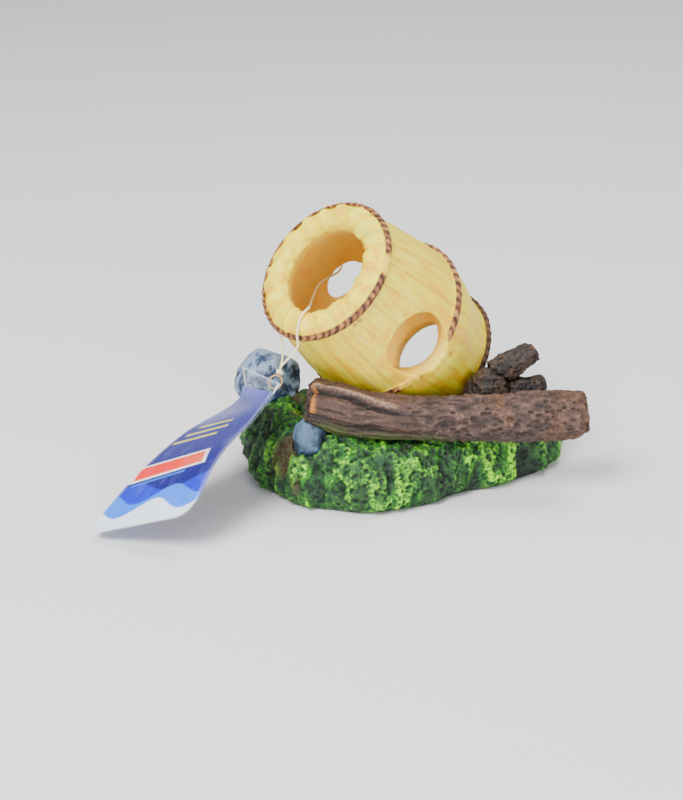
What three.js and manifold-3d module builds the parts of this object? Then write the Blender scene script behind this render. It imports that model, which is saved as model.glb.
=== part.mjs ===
// Bubbling aquarium ornament: a tilted stave barrel on a mossy base, a log in front of it, a forked
// root, two stones, an air fitting under the barrel and a hang tag on a thin cord.
// Millimetres, +Z up. X runs to the right along the log and Y to the back.
import * as THREE from 'three';
import { mergeVertices } from 'three/addons/utils/BufferGeometryUtils.js';
import Module from 'manifold-3d';

const wasm = await Module();
wasm.setup();

// Clearance kept between pieces that touch
const GAP = 0.3;
const MERGE_TOLERANCE = 1e-4;

// Barrel: mouth centre, the mouth's direction, and depths measured inwards from the mouth plane
const MOUTH = [-31.3, -14, 78.5];
const MOUTH_TILT = 42.1;
const MOUTH_HEADING = 41.4;
const BARREL_LENGTH = 70;
const STAVES = 20;
const SEGMENTS_PER_STAVE = 2;
const LIP_SCALLOP = 1.1;
const STAVE_GROOVE = 0.45;
const LIP_DEPTH = 3.5;
// Outside [depth, radius], from the rim to the far end
const OUTSIDE = [
  [1, 25.2], [6.5, 26], [16, 27.7], [30, 29.7], [40, 30.5], [48, 29.9], [58, 26.9], [64, 25.8], [70, 25.4],
];
// Inside [depth, radius], from the far end's narrow opening back to the mouth
const INSIDE = [
  [70, 13.4], [67.5, 11.8], [65, 12], [62, 14.6], [59.5, 19.6], [56, 22.4], [44, 25.6], [30, 25], [18, 22.4],
  [9, 18.6], [4.5, 16.5],
];
// Rolled lip [depth, radius], from the mouth's throat over the crown
const LIP = [[1.6, 16], [-0.9, 17.2], [-2.2, 19.4], [-2.2, 22.3], [-0.9, 24.3]];
// Height of the lip's crown over the mouth plane
const LIP_CROWN = 2.2;

// Side holes: depth, turn about the barrel axis, throat radius and outer bevel radius
const FRONT_HOLE = { depth: 30, turn: -11.2, throat: 11.2, bevel: 13 };
const BACK_HOLE = { depth: 36.5, turn: 162, throat: 8.4, bevel: 9.8 };
// Radii about the barrel axis where a hole's cutter starts, where its bevel starts and where it ends
const HOLE_INNER = 12;
const HOLE_BEVEL_FROM = 27;
const HOLE_BEVEL_TO = 30.5;
const HOLE_OUTER = 33;

// Twine wraps: depth, width and height above the staves
const TWINE_WIDTH = 2.3;
const TWINE_HEIGHT = 1.2;
const RIM_TWINE_DEPTH = 1.6;
const MIDDLE_TWINE_DEPTH = 39;
const END_TWINE_DEPTH = 68.2;

// Base: plan outline, anticlockwise from the right, and heights
const BASE_CENTRE = [-4, -2];
const BASE_OUTLINE = [
  [55, 8], [50, 24], [36, 34], [18, 40], [-2, 42], [-22, 40], [-42, 32], [-57, 22],
  [-61, 8], [-59, -8], [-53, -24], [-44, -37], [-30, -43], [-13, -44.5], [3, -39.5],
  [18, -29], [34, -22], [49, -9],
];
const MOSS_FRONT = 20.5;
const MOSS_BACK_DROP = 4.5;
const MOSS_BANK = { x: -45, y: -6, rise: 8, reachX: 14, reachY: 16 };
// Moss packed under the log's raised left end
const LOG_BED = { y: -28, rise: 6, reach: 9, fromX: -8, toX: -34 };
const FLUTES = 13;
const FLUTE_DEPTH = 0.014;
const CAVITY_HEIGHT = 9;
const CAVITY_CHAMFER = 3;
const CAVITY_SCALE = 0.87;

// Front log: centreline and radii from its left end to its right end
const LOG_LINE = [
  [-36, -29, 35.8], [-20, -28, 31], [0, -27.5, 28.6], [25, -27, 28.3], [45, -27, 29], [60.5, -26, 30.2],
];
const LOG_RADII = [8.2, 8.7, 7.9, 7.7, 8.1, 8.4, 8.7, 8.7, 7.9];

// Forked root: a knot against the barrel, two cut stubs and a root running back from it
const ROOT_KNOT = { centre: [27, -7.5, 26], half: [9, 8.5, 13.5], facets: 14, depth: 0.9, phase: 0.4 };
const UPPER_STUB = { line: [[29, -5.5, 35.5], [35, -3.8, 38.6], [43.5, -1, 42.6]], radii: [5.2, 5.3, 3.7] };
const LOWER_STUB = { line: [[31, -7.5, 28.5], [38, -6.3, 30.2], [47, -3.5, 31.6]], radii: [4.4, 4.6, 3.1] };
const REAR_ROOT = {
  line: [[31, 1, 23], [37, 12, 19.5], [38, 24, 15.5], [34, 33, 11]],
  radii: [5.6, 5.8, 5.2, 3.6],
};

// Stones: centre, half sizes, number of flats, their distance from the centre, and a turn
const LEFT_ROCK = { centre: [-51.4, 5, 29.2], half: [12.6, 12.5, 12.4], facets: 8, depth: 0.78, phase: 0.9 };
const FRONT_STONE = { centre: [-36, -33, 23.4], half: [6, 5.4, 8.4], facets: 10, depth: 0.88, phase: 0.2 };

// Air fitting: the air stone stands in the base under the barrel's far end
const STONE_AT = [8, 20];
const STONE_RADIUS = 4.5;
const STONE_BOTTOM = 9.6;
const STONE_HEIGHT = 8;
const STEM_RADIUS = 2;
const STEM_BORE = 1.1;
const AIR_HEIGHT = 5.4;
const STEM_BEND = 3.6;
const HOSE_RADIUS = 3;
const HOSE_BORE = 2.3;
const SEAT_BACK = 39.4;
const SEAT_RADIUS = 5;
const FLANGE_RADIUS = SEAT_RADIUS - 1;
const SEAL_THICKNESS = 1.4;
// Nipple: its inner end behind the stone, its length outside the flange and its barb
const NIPPLE_SETBACK = 8;
const NIPPLE_REACH = 9;
const BARB_LENGTH = 2.4;
const BARB_HEIGHT = 0.5;
// Lengths of stem inside the hose, inside the stone and past the elbow's bend
const HOSE_GRIP = 3.6;
const SPIGOT = 3.2;
const STEM_TAIL = 3.4;
const SOCKET_DEPTH = 3.8;
const FLANGE_THICKNESS = 1.6;

// Hang tag edges from the resting corner to the top of the clear header, and the share that is card
const TAG_LEFT = [
  [-110.6, -61.7, 0.7], [-93.8, -43, 14.1], [-79.4, -26, 21.2], [-59.9, -9.5, 28.7], [-59.6, -9.5, 40.2],
];
const TAG_RIGHT = [
  [-74, -75, 15.5], [-65, -60.5, 28.9], [-54.9, -44.5, 35], [-49.6, -35, 38.9], [-46, -34, 44.5],
];
const TAG_PRINT_SHARE = 0.85;
const TAG_THICKNESS = 0.5;
// Rounded lower corners: their share of the width and of the height
const TAG_CORNER = 0.16;
const TAG_CORNER_RISE = 0.07;
const EYELET = { across: 0.9, up: 0.91, radius: 2.2 };

// Tag cord: from its knot over the lip, through the barrel, out of the back hole and round to the knot
const CORD_RADIUS = 0.4;
const CORD_ROUTE = [
  [-45.9, -30.3, 48.9], [-44, -30.6, 51.2], [-41.6, -30.7, 54.1], [-39.7, -30.9, 57.2],
  [-40, -31, 60.5], [-39.7, -30.4, 63.5], [-38.9, -28.9, 66.1], [-37.7, -26.8, 67.6], [-36.2, -24, 68],
  [-36.4, -16.6, 65.3], [-36.2, -7, 61.2], [-36.1, 2.2, 58.6], [-35.2, 9.2, 59.2], [-33.2, 13.9, 62.3],
  [-30.2, 16.9, 63.8], [-27, 19.7, 64.4], [-25.3, 23.8, 64.8], [-25.1, 27.4, 65.4],
  [-27.9, 29.6, 65.8], [-32.4, 28.1, 64.5], [-36.8, 22.7, 61.7], [-40.4, 17.8, 59.3],
  [-43.1, 13, 58.1], [-45.2, 8.6, 57.8], [-46.6, 1.4, 54.9], [-46.4, -6.3, 52.1], [-45.6, -13, 50.2],
  [-45.3, -20, 48.8], [-45.7, -25.6, 47.6], [-46, -29, 47.3],
];
const CORD_STEPS = 76;
const CORD_SIDES = 8;
const KNOT_AT = [-46.1, -30.4, 47.3];
const KNOT_RADIUS = 1.2;
const LOOP_RADIUS = 2.4;

// ---------- small helpers ----------

const v3 = (p) => new THREE.Vector3(p[0], p[1], p[2]);

const radians = THREE.MathUtils.degToRad;

// Value of a list spread evenly over 0..1
function along(list, u) {
  const at = THREE.MathUtils.clamp(u, 0, 1) * (list.length - 1);
  const i = Math.min(Math.floor(at), list.length - 2);
  return THREE.MathUtils.lerp(list[i], list[i + 1], at - i);
}

function signedVolume(geometry) {
  const p = geometry.attributes.position;
  const index = geometry.index.array;
  const corner = [new THREE.Vector3(), new THREE.Vector3(), new THREE.Vector3()];
  let sum = 0;
  for (let i = 0; i < index.length; i += 3) {
    corner.forEach((c, k) => c.fromBufferAttribute(p, index[i + k]));
    sum += corner[0].dot(corner[1].clone().cross(corner[2])) / 6;
  }
  return sum;
}

// Position-only geometry with shared vertices and its faces pointing out
function closed(geometry) {
  const bare = geometry.clone();
  for (const name of Object.keys(bare.attributes)) {
    if (name !== 'position') bare.deleteAttribute(name);
  }
  const merged = mergeVertices(bare, MERGE_TOLERANCE);
  if (signedVolume(merged) < 0) {
    const index = merged.index.array;
    for (let i = 0; i < index.length; i += 3) {
      [index[i], index[i + 1]] = [index[i + 1], index[i]];
    }
  }
  return merged;
}

function toSolid(geometry) {
  const g = closed(geometry);
  return new wasm.Manifold(new wasm.Mesh({
    numProp: 3,
    vertProperties: new Float32Array(g.attributes.position.array),
    triVerts: new Uint32Array(g.index.array),
  }));
}

function toGeometry(solid) {
  const mesh = solid.getMesh();
  const g = new THREE.BufferGeometry();
  g.setAttribute('position', new THREE.BufferAttribute(mesh.vertProperties, 3));
  g.setIndex(new THREE.BufferAttribute(mesh.triVerts, 1));
  return g;
}

// The geometry with every cutter taken away
function cut(geometry, ...cutters) {
  let solid = toSolid(geometry);
  for (const cutter of cutters) solid = solid.subtract(toSolid(cutter));
  return toGeometry(solid);
}

// The same shape grown outwards, as the room that a neighbour leaves for it
function room(geometry, by = GAP) {
  const g = closed(geometry);
  g.computeVertexNormals();
  const p = g.attributes.position;
  const n = g.attributes.normal;
  for (let i = 0; i < p.count; i++) {
    p.setXYZ(i, p.getX(i) + by * n.getX(i), p.getY(i) + by * n.getY(i), p.getZ(i) + by * n.getZ(i));
  }
  return g;
}

// Move every vertex of a geometry through a function of its position
function reshape(geometry, place) {
  const g = closed(geometry);
  const p = g.attributes.position;
  const at = new THREE.Vector3();
  for (let i = 0; i < p.count; i++) {
    at.fromBufferAttribute(p, i);
    const to = place(at.clone());
    p.setXYZ(i, to.x, to.y, to.z);
  }
  return g;
}

// A lathe about +Z from [radius, z] points
function turned(points, segments) {
  const g = new THREE.LatheGeometry(points.map(([r, z]) => new THREE.Vector2(r, z)), segments);
  return closed(g.rotateX(Math.PI / 2));
}

// A round body along a curve, its radius a function of the position along it and round it
function branch(line, radii, round, steps, dome, ripple = () => 1) {
  const curve = new THREE.CatmullRomCurve3(line.map(v3));
  const rod = new THREE.CylinderGeometry(1, 1, 1, round, steps);
  return reshape(rod, (at) => {
    const u = at.y + 0.5;
    const ahead = curve.getTangent(u);
    const side = new THREE.Vector3(0, 0, 1).cross(ahead).normalize();
    const up = ahead.clone().cross(side);
    const share = Math.hypot(at.x, at.z);
    const turn = Math.atan2(at.z, at.x);
    const radius = share * along(radii, u) * ripple(u, turn);
    const bulge = dome * (1 - share) * Math.sign(at.y);
    return curve.getPoint(u)
      .addScaledVector(side, radius * Math.cos(turn))
      .addScaledVector(up, radius * Math.sin(turn))
      .addScaledVector(ahead, bulge);
  });
}

// A rounded stone with flat facets in golden-angle directions
function stone({ centre, half, facets, depth, phase }) {
  const goldenAngle = Math.PI * (3 - Math.sqrt(5));
  const flats = [];
  for (let i = 0; i < facets; i++) {
    const z = 1 - (2 * i + 1) / facets;
    const turn = phase + i * goldenAngle;
    const r = Math.sqrt(1 - z * z);
    flats.push(new THREE.Vector3(r * Math.cos(turn), r * Math.sin(turn), z));
  }
  return reshape(new THREE.IcosahedronGeometry(1, 3), (at) => {
    for (const flat of flats) {
      const over = at.dot(flat) - depth;
      if (over > 0) at.addScaledVector(flat, -over);
    }
    return at.multiply(v3(half)).add(v3(centre));
  });
}

// ---------- barrel ----------

// Barrel frame: local Z out of the mouth, local X level and towards the right front
const out = new THREE.Vector3(
  -Math.cos(radians(MOUTH_TILT)) * Math.cos(radians(MOUTH_HEADING)),
  -Math.cos(radians(MOUTH_TILT)) * Math.sin(radians(MOUTH_HEADING)),
  Math.sin(radians(MOUTH_TILT)),
);
const level = new THREE.Vector3(0, 0, 1).cross(out).normalize();
const barrelPlace = new THREE.Matrix4()
  .makeBasis(level, out.clone().cross(level), out)
  .setPosition(v3(MOUTH));

function outsideRadius(depth) {
  const i = Math.max(1, OUTSIDE.findIndex(([d]) => d >= depth));
  const [d0, r0] = OUTSIDE[i - 1];
  const [d1, r1] = OUTSIDE[i];
  return THREE.MathUtils.mapLinear(depth, d0, d1, r0, r1);
}

// Grooves between the staves, deepest as scallops on the lip
function staveDepth(turn, depth) {
  const groove = 0.5 - 0.5 * Math.cos(STAVES * turn);
  const atLip = THREE.MathUtils.smoothstep(LIP_DEPTH - depth, 0, LIP_DEPTH);
  return groove * THREE.MathUtils.lerp(STAVE_GROOVE, LIP_SCALLOP, atLip);
}

function barrelWall() {
  const ring = [...LIP, ...OUTSIDE, ...INSIDE];
  const points = [...ring, ring[0]].map(([depth, r]) => [r, -depth]);
  const wall = turned(points, STAVES * SEGMENTS_PER_STAVE);
  return reshape(wall, (at) => {
    const r = Math.hypot(at.x, at.y);
    const depth = -at.z;
    const isOuter = depth < LIP_DEPTH ? r > LIP[1][1] : r > outsideRadius(depth) - 1;
    if (!isOuter) return at;
    const less = (r - staveDepth(Math.atan2(at.y, at.x), depth)) / r;
    return new THREE.Vector3(at.x * less, at.y * less, at.z);
  });
}

// The filled outer form of the barrel, as the room its neighbours leave
function barrelRoom() {
  const side = [...LIP.slice(3), ...OUTSIDE].map(([depth, r]) => [r + GAP, -depth]);
  const top = LIP_CROWN + GAP;
  const end = -BARREL_LENGTH - GAP;
  const points = [[0, top], [LIP[3][1], top], ...side, [OUTSIDE.at(-1)[1] + GAP, end], [0, end]];
  return turned(points, STAVES * SEGMENTS_PER_STAVE).applyMatrix4(barrelPlace);
}

// A round cutter through one side wall, flared where it leaves the staves
function holeCutter({ depth, turn, throat, bevel }) {
  const points = [
    [0, HOLE_INNER], [throat, HOLE_INNER], [throat, HOLE_BEVEL_FROM],
    [bevel, HOLE_BEVEL_TO], [bevel + 2, HOLE_OUTER], [0, HOLE_OUTER],
  ];
  return turned(points, 28)
    .rotateY(Math.PI / 2)
    .rotateZ(radians(turn))
    .translate(0, 0, -depth);
}

// A twine wrap lying on the staves
function twineRing(depth) {
  const half = TWINE_WIDTH / 2;
  const near = outsideRadius(depth - half) + GAP;
  const far = outsideRadius(Math.min(depth + half, BARREL_LENGTH)) + GAP;
  const crown = Math.max(near, far) + TWINE_HEIGHT;
  const points = [
    [near, -depth + half], [near + TWINE_HEIGHT * 0.6, -depth + half],
    [crown, -depth + half * 0.5], [crown, -depth - half * 0.5],
    [far + TWINE_HEIGHT * 0.6, -depth - half], [far, -depth - half],
    [near, -depth + half],
  ];
  return turned(points, STAVES * 2);
}

// The half of the barrel's frame on one side of a plane through its axis
function halfSpace(turn) {
  const reach = 2 * BARREL_LENGTH;
  return new THREE.BoxGeometry(reach, reach, reach)
    .translate(0, reach / 2, -BARREL_LENGTH / 2)
    .rotateZ(radians(turn));
}

const holeCutters = [holeCutter(FRONT_HOLE), holeCutter(BACK_HOLE)];
const shell = cut(barrelWall(), ...holeCutters);
const rimTwine = twineRing(RIM_TWINE_DEPTH);
const middleRing = cut(twineRing(MIDDLE_TWINE_DEPTH), ...holeCutters);
const upperTwine = cut(middleRing, halfSpace(180 + FRONT_HOLE.turn));
const lowerTwine = cut(middleRing, halfSpace(FRONT_HOLE.turn));
const endTwine = twineRing(END_TWINE_DEPTH);
const inBarrel = [rimTwine, upperTwine, lowerTwine, endTwine]
  .map((g) => room(g).applyMatrix4(barrelPlace));
const barrelKeepOut = [barrelRoom(), ...inBarrel];

// ---------- log, root and stones ----------

const bark = (u, turn) => 1 + 0.035 * Math.sin(5 * turn + 4 * u) + 0.025 * Math.sin(9 * turn - 11 * u);
const frontLog = cut(branch(LOG_LINE, LOG_RADII, 18, 16, 1.2, bark), ...barrelKeepOut);

const fork = ({ line, radii }) => branch(line, radii, 12, 3 * line.length - 2, 0.8, bark);
const rootKnot = cut(stone(ROOT_KNOT), ...barrelKeepOut, room(frontLog));
const upperStub = cut(fork(UPPER_STUB), ...barrelKeepOut, room(rootKnot));
const lowerStub = cut(
  fork(LOWER_STUB),
  ...barrelKeepOut,
  ...[rootKnot, frontLog, upperStub].map((g) => room(g)),
);
const rearRoot = cut(fork(REAR_ROOT), ...barrelKeepOut, room(rootKnot), room(lowerStub));
const leftRock = cut(stone(LEFT_ROCK), ...barrelKeepOut);
const frontStone = cut(stone(FRONT_STONE), room(frontLog));

// ---------- air fitting ----------

// A hollow round bar along +Y from [radius, y] points
const alongY = (points, segments) => turned(points, segments).rotateX(-Math.PI / 2);

const nippleFlange = SEAT_BACK + SEAL_THICKNESS + 2 * GAP;
const nippleStart = STONE_AT[1] + NIPPLE_SETBACK;
const nippleEnd = nippleFlange + NIPPLE_REACH;

function airNipple() {
  const face = nippleFlange + FLANGE_THICKNESS;
  const barb = nippleEnd - BARB_LENGTH;
  const points = [
    [STEM_BORE, nippleStart], [STEM_RADIUS, nippleStart], [STEM_RADIUS, nippleFlange],
    [FLANGE_RADIUS, nippleFlange], [FLANGE_RADIUS, face], [STEM_RADIUS, face],
    [STEM_RADIUS, barb], [STEM_RADIUS + BARB_HEIGHT, barb], [STEM_RADIUS - 0.3, nippleEnd],
    [STEM_BORE, nippleEnd], [STEM_BORE, nippleStart],
  ];
  return alongY(points, 16).translate(STONE_AT[0], 0, AIR_HEIGHT);
}

function nippleSeal() {
  const start = SEAT_BACK + GAP;
  const points = [
    [STEM_RADIUS + GAP, start], [FLANGE_RADIUS, start],
    [FLANGE_RADIUS, start + SEAL_THICKNESS], [STEM_RADIUS + GAP, start + SEAL_THICKNESS],
    [STEM_RADIUS + GAP, start],
  ];
  return alongY(points, 16).translate(STONE_AT[0], 0, AIR_HEIGHT);
}

function airHose() {
  const start = STONE_AT[1] + STEM_BEND + 1.4;
  const end = nippleStart + HOSE_GRIP;
  const points = [
    [HOSE_BORE, start], [HOSE_RADIUS, start], [HOSE_RADIUS, end], [HOSE_BORE, end], [HOSE_BORE, start],
  ];
  return alongY(points, 16).translate(STONE_AT[0], 0, AIR_HEIGHT);
}

// Elbow that carries the stone: up out of the hose, with a spigot into the stone's socket
function stemElbow() {
  const ring = new THREE.Shape();
  ring.absarc(0, 0, STEM_RADIUS, 0, 2 * Math.PI);
  const bore = new THREE.Path();
  bore.absarc(0, 0, STEM_BORE, 0, 2 * Math.PI, true);
  ring.holes.push(bore);
  const [x, y] = STONE_AT;
  const path = new THREE.CurvePath();
  const top = new THREE.Vector3(x, y, STONE_BOTTOM + SPIGOT);
  const bendTop = new THREE.Vector3(x, y, AIR_HEIGHT + STEM_BEND);
  const corner = new THREE.Vector3(x, y, AIR_HEIGHT);
  const bendEnd = new THREE.Vector3(x, y + STEM_BEND, AIR_HEIGHT);
  path.add(new THREE.LineCurve3(top, bendTop));
  path.add(new THREE.QuadraticBezierCurve3(bendTop, corner, bendEnd));
  path.add(new THREE.LineCurve3(bendEnd, new THREE.Vector3(x, y + STEM_BEND + STEM_TAIL, AIR_HEIGHT)));
  return closed(new THREE.ExtrudeGeometry(ring, { steps: 10, curveSegments: 5, extrudePath: path }));
}

function airStone() {
  const top = STONE_BOTTOM + STONE_HEIGHT;
  const socket = STEM_RADIUS + GAP;
  const points = [
    [0, STONE_BOTTOM + SOCKET_DEPTH], [socket, STONE_BOTTOM + SOCKET_DEPTH], [socket, STONE_BOTTOM],
    [STONE_RADIUS - 0.4, STONE_BOTTOM], [STONE_RADIUS, STONE_BOTTOM + 0.6],
    [STONE_RADIUS, top - 0.9], [STONE_RADIUS - 0.9, top], [0, top],
  ];
  return turned(points, 18).translate(STONE_AT[0], STONE_AT[1], 0);
}

// ---------- base ----------

function mossTop(x, y) {
  const back = THREE.MathUtils.smoothstep(y, -20, 22);
  const { x: bx, y: by, rise, reachX, reachY } = MOSS_BANK;
  const bank = rise * Math.exp(-(((x - bx) / reachX) ** 2) - ((y - by) / reachY) ** 2);
  const bedShare = THREE.MathUtils.smoothstep(-x, -LOG_BED.fromX, -LOG_BED.toX);
  const bed = LOG_BED.rise * bedShare * Math.exp(-(((y - LOG_BED.y) / LOG_BED.reach) ** 2));
  const lumps = 0.5 * Math.sin(x * 0.31 + 1) * Math.cos(y * 0.27);
  return MOSS_FRONT - MOSS_BACK_DROP * back + bank + bed * (1 - bank / rise) + lumps;
}

// [share of the outline, share of the height] of the mound's section, from the rim to the top
const MOUND_SECTION = [
  [1, 0.12], [1.005, 0.28], [0.985, 0.5], [0.945, 0.73], [0.88, 0.9],
  [0.78, 0.98], [0.6, 1], [0.42, 1], [0.22, 1],
];

const baseOutline = new THREE.CatmullRomCurve3(
  BASE_OUTLINE.map(([x, y]) => new THREE.Vector3(x, y, 0)),
  true,
);

// A unit lathe point spread over the base's plan, with the outline fluted by the given share
function spread(at, fluting) {
  const share = Math.hypot(at.x, at.y);
  const turn = Math.atan2(at.y, at.x);
  const edge = baseOutline.getPoint((turn / (2 * Math.PI) + 1) % 1);
  const reach = share * (1 + fluting * share * Math.sin(FLUTES * turn));
  return new THREE.Vector3(
    THREE.MathUtils.lerp(BASE_CENTRE[0], edge.x, reach),
    THREE.MathUtils.lerp(BASE_CENTRE[1], edge.y, reach),
    at.z,
  );
}

function mound() {
  const section = [[0, 0], [0.6, 0], [0.96, 0], ...MOUND_SECTION, [0, 1]];
  return reshape(turned(section, 44), (at) => {
    const to = spread(at, FLUTE_DEPTH);
    return to.setZ(to.z * mossTop(to.x, to.y));
  });
}

// Hollow under the base, open at the bottom
function cavity() {
  const section = [
    [0, -1], [CAVITY_SCALE, -1], [CAVITY_SCALE, CAVITY_HEIGHT - CAVITY_CHAMFER],
    [CAVITY_SCALE - 0.07, CAVITY_HEIGHT], [0, CAVITY_HEIGHT],
  ];
  return reshape(turned(section, 30), (at) => spread(at, 0));
}

// Round passages through the base: the stone's well, the nipple's hole and its flat seat
function basePassages() {
  const [x, y] = STONE_AT;
  const rod = (radius, from, to) => [[0, from], [radius, from], [radius, to], [0, to]];
  const well = turned(rod(STONE_RADIUS + GAP, 0, 2 * MOSS_FRONT), 24);
  const bore = alongY(rod(STEM_RADIUS + GAP, nippleStart, nippleEnd + SEAT_BACK), 20);
  const seat = alongY(rod(SEAT_RADIUS, SEAT_BACK, nippleEnd + SEAT_BACK), 24);
  return [well.translate(x, y, 0), bore.translate(x, 0, AIR_HEIGHT), seat.translate(x, 0, AIR_HEIGHT)];
}

const mossBase = cut(
  mound(),
  cavity(),
  ...basePassages(),
  barrelRoom(),
  room(endTwine).applyMatrix4(barrelPlace),
  room(lowerTwine).applyMatrix4(barrelPlace),
  ...[frontLog, rootKnot, lowerStub, rearRoot, leftRock, frontStone].map((g) => room(g)),
);

// ---------- hang tag ----------

const tagLeft = new THREE.CatmullRomCurve3(TAG_LEFT.map(v3));
const tagRight = new THREE.CatmullRomCurve3(TAG_RIGHT.map(v3));

// Point of the bent sheet: across 0..1, up 0..1, and a distance in front of it
function tagPoint(across, up, front) {
  const left = tagLeft.getPoint(up);
  const right = tagRight.getPoint(up);
  const step = 0.01;
  const near = THREE.MathUtils.clamp(up, step, 1 - step);
  const ahead = tagLeft.getPoint(near + step).lerp(tagRight.getPoint(near + step), across)
    .sub(tagLeft.getPoint(near - step).lerp(tagRight.getPoint(near - step), across));
  const face = right.clone().sub(left).cross(ahead).normalize();
  return left.lerp(right, across).addScaledVector(face, front);
}

// A bent sheet with rounded lower corners
function sheet(bottom, top, thickness, front, rows) {
  const slab = new THREE.BoxGeometry(1, 1, thickness, 12, rows, 1);
  return reshape(slab, (at) => {
    const across = at.x + 0.5;
    const fromSide = Math.min(across, 1 - across);
    const corner = Math.max(0, 1 - fromSide / TAG_CORNER);
    const rounding = TAG_CORNER_RISE * (1 - Math.sqrt(1 - corner * corner));
    const low = bottom + rounding;
    const up = THREE.MathUtils.lerp(low, top, at.y + 0.5);
    return tagPoint(across, up, front + at.z);
  });
}

const eyeletAt = tagPoint(EYELET.across, EYELET.up, 0);

function eyeletCutter() {
  const axis = tagPoint(EYELET.across, EYELET.up, 1).sub(eyeletAt);
  const pin = new THREE.CylinderGeometry(EYELET.radius, EYELET.radius, 8, 16);
  pin.applyQuaternion(new THREE.Quaternion().setFromUnitVectors(new THREE.Vector3(0, 1, 0), axis));
  return pin.translate(eyeletAt.x, eyeletAt.y, eyeletAt.z);
}

// ---------- cord ----------

function tagCord() {
  const corners = [];
  for (let i = 0; i < CORD_SIDES; i++) {
    const turn = (2 * Math.PI * i) / CORD_SIDES;
    corners.push(new THREE.Vector2(CORD_RADIUS * Math.cos(turn), CORD_RADIUS * Math.sin(turn)));
  }
  const section = new THREE.Shape(corners);
  const route = new THREE.CatmullRomCurve3(CORD_ROUTE.map(v3), false, 'centripetal');
  return closed(new THREE.ExtrudeGeometry(section, { steps: CORD_STEPS, extrudePath: route }));
}

// Knot with the small loop that holds the tag's eyelet
function cordKnot() {
  const knot = v3(KNOT_AT);
  const up = knot.clone().sub(eyeletAt).normalize();
  const face = tagPoint(EYELET.across, EYELET.up, 1).sub(eyeletAt);
  const across = face.cross(up).normalize();
  const loop = new THREE.TorusGeometry(LOOP_RADIUS, CORD_RADIUS * 0.9, 6, 20);
  loop.applyQuaternion(new THREE.Quaternion().setFromUnitVectors(new THREE.Vector3(0, 0, 1), across));
  const middle = eyeletAt.clone().addScaledVector(up, LOOP_RADIUS);
  loop.translate(middle.x, middle.y, middle.z);
  const ball = new THREE.IcosahedronGeometry(KNOT_RADIUS, 1).translate(...KNOT_AT);
  return toGeometry(toSolid(ball).add(toSolid(loop)));
}

// ---------- scene ----------

const finish = {
  barrel: { color: '#e0c47a', roughness: 0.62, metalness: 0 },
  twine: { color: '#7a5a45', roughness: 0.85, metalness: 0 },
  log: { color: '#66524b', roughness: 0.8, metalness: 0 },
  moss: { color: '#3c5a2e', roughness: 0.75, metalness: 0 },
  stone: { color: '#8f9ca9', roughness: 0.7, metalness: 0 },
  plastic: { color: '#e8ecee', roughness: 0.4, metalness: 0 },
  silicone: { color: '#cfd6d8', roughness: 0.5, metalness: 0 },
  airStone: { color: '#6d86a8', roughness: 0.95, metalness: 0 },
  card: { color: '#4a56a6', roughness: 0.25, metalness: 0 },
  film: { color: '#e6eef2', roughness: 0.1, metalness: 0 },
  cord: { color: '#e9dfc6', roughness: 0.8, metalness: 0 },
};

function piece(name, geometry, look) {
  const mesh = new THREE.Mesh(geometry, new THREE.MeshStandardMaterial(finish[look]));
  mesh.name = name;
  return mesh;
}

const barrel = new THREE.Group();
barrel.applyMatrix4(barrelPlace);
barrel.add(
  piece('barrel_shell', shell, 'barrel'),
  piece('rim_twine', rimTwine, 'twine'),
  piece('middle_twine_upper', upperTwine, 'twine'),
  piece('middle_twine_lower', lowerTwine, 'twine'),
  piece('end_twine', endTwine, 'twine'),
);

const air = new THREE.Group();
air.add(
  piece('air_stone', airStone(), 'airStone'),
  piece('stem_elbow', stemElbow(), 'plastic'),
  piece('airline_hose', airHose(), 'silicone'),
  piece('air_nipple', airNipple(), 'plastic'),
  piece('nipple_seal', nippleSeal(), 'silicone'),
);

const scenery = new THREE.Group();
scenery.add(
  piece('moss_base', mossBase, 'moss'),
  piece('front_log', frontLog, 'log'),
  piece('root_knot', rootKnot, 'log'),
  piece('upper_stub', upperStub, 'log'),
  piece('lower_stub', lowerStub, 'log'),
  piece('rear_root', rearRoot, 'log'),
  piece('left_rock', leftRock, 'stone'),
  piece('front_stone', frontStone, 'stone'),
);

const tag = new THREE.Group();
tag.add(
  piece('tag_card', sheet(0, TAG_PRINT_SHARE, TAG_THICKNESS, TAG_THICKNESS + GAP, 12), 'card'),
  piece('tag_film', cut(sheet(0, 1, TAG_THICKNESS, 0, 14), eyeletCutter()), 'film'),
);

const cord = new THREE.Group();
cord.add(
  piece('tag_cord', tagCord(), 'cord'),
  piece('cord_knot', cordKnot(), 'cord'),
);

// The origin is the middle of the footprint of everything but the tag and its cord
const casting = new THREE.Group();
casting.add(barrel, air, scenery);
casting.updateMatrixWorld(true);
const extent = new THREE.Box3().setFromObject(casting, true);
const middle = extent.getCenter(new THREE.Vector3());

const ornament = new THREE.Group();
ornament.add(casting, tag, cord);
ornament.position.set(-middle.x, -middle.y, -extent.min.z);
export default ornament;
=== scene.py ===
"""Looks of a bubbling aquarium ornament: a resin casting of a barrel, a log, a forked root and stones on
moss, with an air fitting underneath and a laminated hang tag on a cotton cord."""

import itertools
import math

import bpy
import numpy as np
from mathutils import Matrix, Vector


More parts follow.
